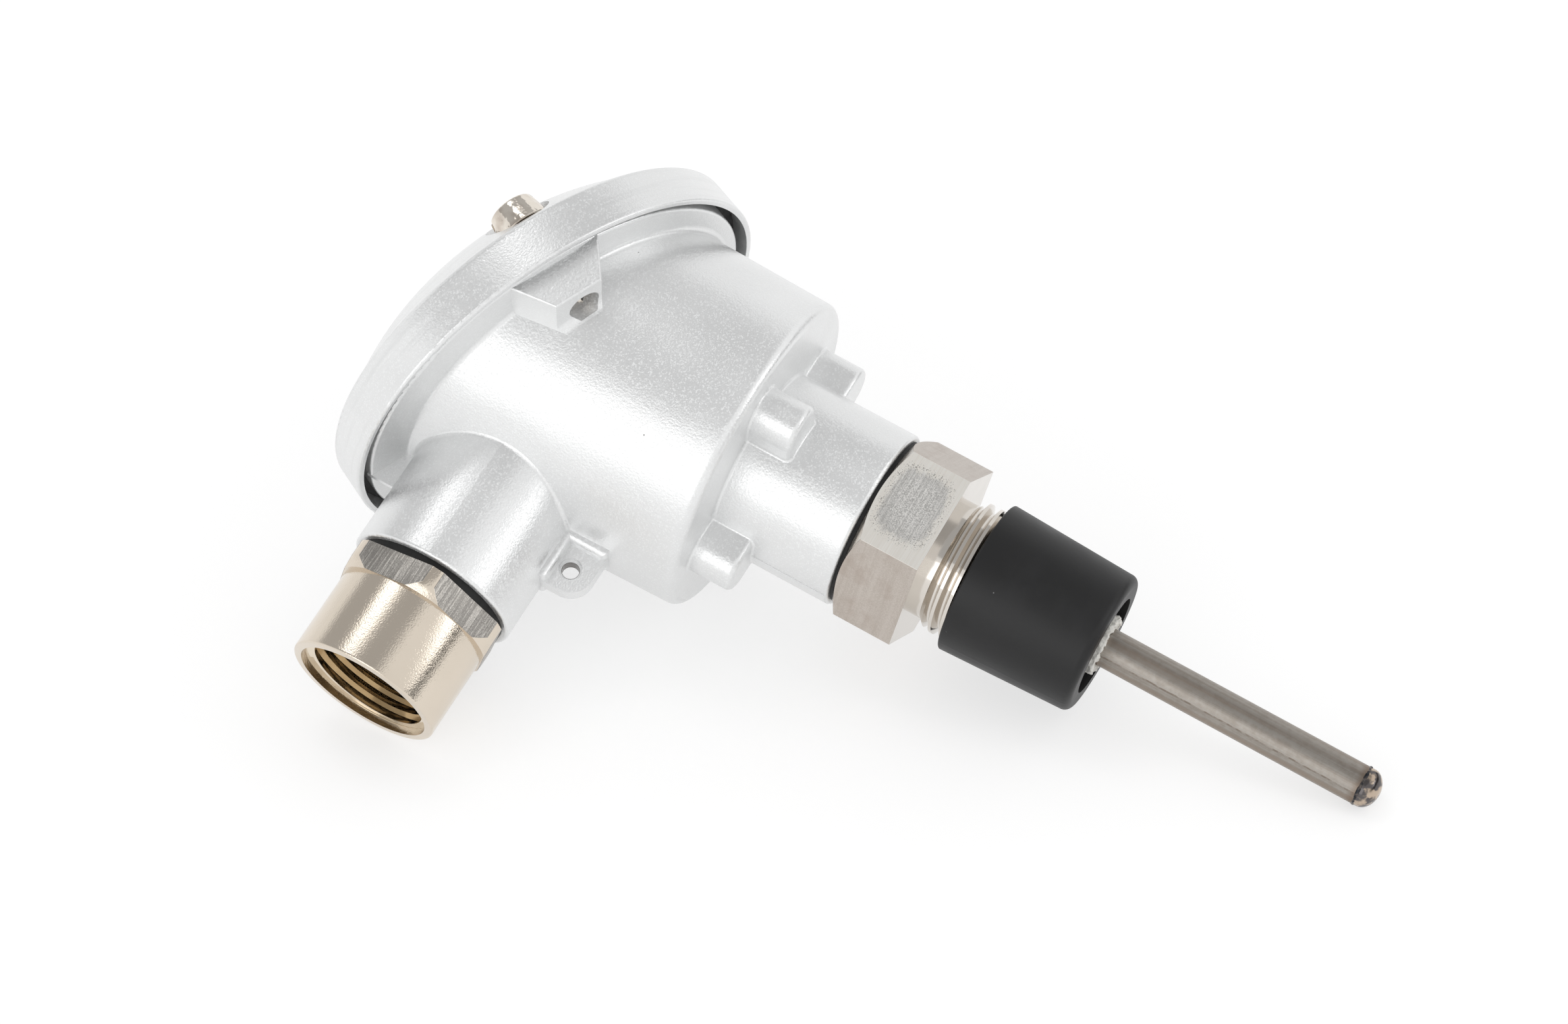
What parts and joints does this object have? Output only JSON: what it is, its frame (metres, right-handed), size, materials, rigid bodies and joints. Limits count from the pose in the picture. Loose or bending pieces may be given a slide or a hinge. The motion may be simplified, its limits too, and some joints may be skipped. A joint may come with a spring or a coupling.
{
  "type": "temperature probe",
  "caption": "Industrial resistance temperature probe: die-cast connection head with tilted lid, side cable adapter, hexagon thread nipple with protection cap and short steel sheath.",
  "frame": {"origin": "on the probe's axis at the lower face of the nipple's hexagon, which seats on the vessel's port", "axes": "+Z along the probe's axis up to the connection head, +X towards the cable entry; the tip is at -Z"},
  "size_m": [0.0944, 0.0712, 0.1595],
  "materials": {
    "cast_paint": "silver lacquer on die-cast aluminium, fine sparkle",
    "seal_rubber": "black rubber",
    "plated_screw": "nickel-plated steel",
    "fibre_washer": "dark washer",
    "plated_brass": "nickel-plated brass, warm tone",
    "stainless": "turned stainless steel",
    "cap_plastic": "matt black plastic",
    "white_seal": "torn white seal",
    "sheath_steel": "annealed stainless steel tube",
    "ceramic": "unglazed ceramic",
    "terminal_brass": "bare brass",
    "terminal_steel": "zinc-plated steel",
    "wire_red": "red wire insulation",
    "wire_white": "white wire insulation",
    "potting": "black epoxy potting"
  },
  "bodies": {
    "probe": {"head_housing": "cast_paint", "entry_seal": "seal_rubber", "conduit_adapter": "plated_brass", "neck_gasket": "seal_rubber", "hex_nipple": "stainless", "torn_seal_ring": "white_seal", "probe_sheath": "sheath_steel", "sheath_tip": "sheath_steel", "sensing_element": "ceramic", "sheath_plug": "potting", "terminal_block": "ceramic", "lead_wire_red_1": "wire_red", "lead_wire_red_2": "wire_red", "lead_wire_white": "wire_white", "block_screw_near": "terminal_steel", "block_screw_far": "terminal_steel", "terminal_1": "terminal_brass", "terminal_screw_1": "terminal_steel", "terminal_2": "terminal_brass", "terminal_screw_2": "terminal_steel", "terminal_3": "terminal_brass", "terminal_screw_3": "terminal_steel", "terminal_4": "terminal_brass", "terminal_screw_4": "terminal_steel"},
    "lid": {"head_lid": "cast_paint", "lid_gasket": "seal_rubber"},
    "lid_washer_near": {"lid_screw_washer_near": "fibre_washer"},
    "lid_screw_near": {"lid_screw_near": "plated_screw"},
    "lid_washer_far": {"lid_screw_washer_far": "fibre_washer"},
    "lid_screw_far": {"lid_screw_far": "plated_screw"},
    "thread_cap": {"thread_cap": "cap_plastic"}
  },
  "joints": [
    {"name": "lid_lift", "type": "slide", "parent": "probe", "child": "lid", "axis": [-0.4085, 0, 0.9128], "range_m": [0, 0.04]},
    {"name": "thread_cap_pull", "type": "slide", "parent": "probe", "child": "thread_cap", "axis": [0, 0, -1], "range_m": [0, 0.07]},
    {"name": "lid_screw_near_travel", "type": "slide", "parent": "lid", "child": "lid_washer_near", "axis": [-0.4085, 0, 0.9128], "range_m": [0, 0.0064]},
    {"name": "lid_screw_near_turn", "type": "hinge", "parent": "lid_washer_near", "child": "lid_screw_near", "pos_m": [-0.00266, 0.0277, 0.07237], "axis": [-0.4085, 0, 0.9128], "range_deg": [-90, 2970]},
    {"name": "lid_screw_far_travel", "type": "slide", "parent": "lid", "child": "lid_washer_far", "axis": [-0.4085, 0, 0.9128], "range_m": [0, 0.0064]},
    {"name": "lid_screw_far_turn", "type": "hinge", "parent": "lid_washer_far", "child": "lid_screw_far", "pos_m": [-0.00266, -0.0277, 0.07237], "axis": [-0.4085, 0, 0.9128], "range_deg": [-90, 2970]}
  ],
  "couplings": [
    {"joint": "lid_screw_near_turn", "follows": "lid_screw_near_travel", "rad_per_m": 7854},
    {"joint": "lid_screw_far_turn", "follows": "lid_screw_far_travel", "rad_per_m": 7854}
  ]
}
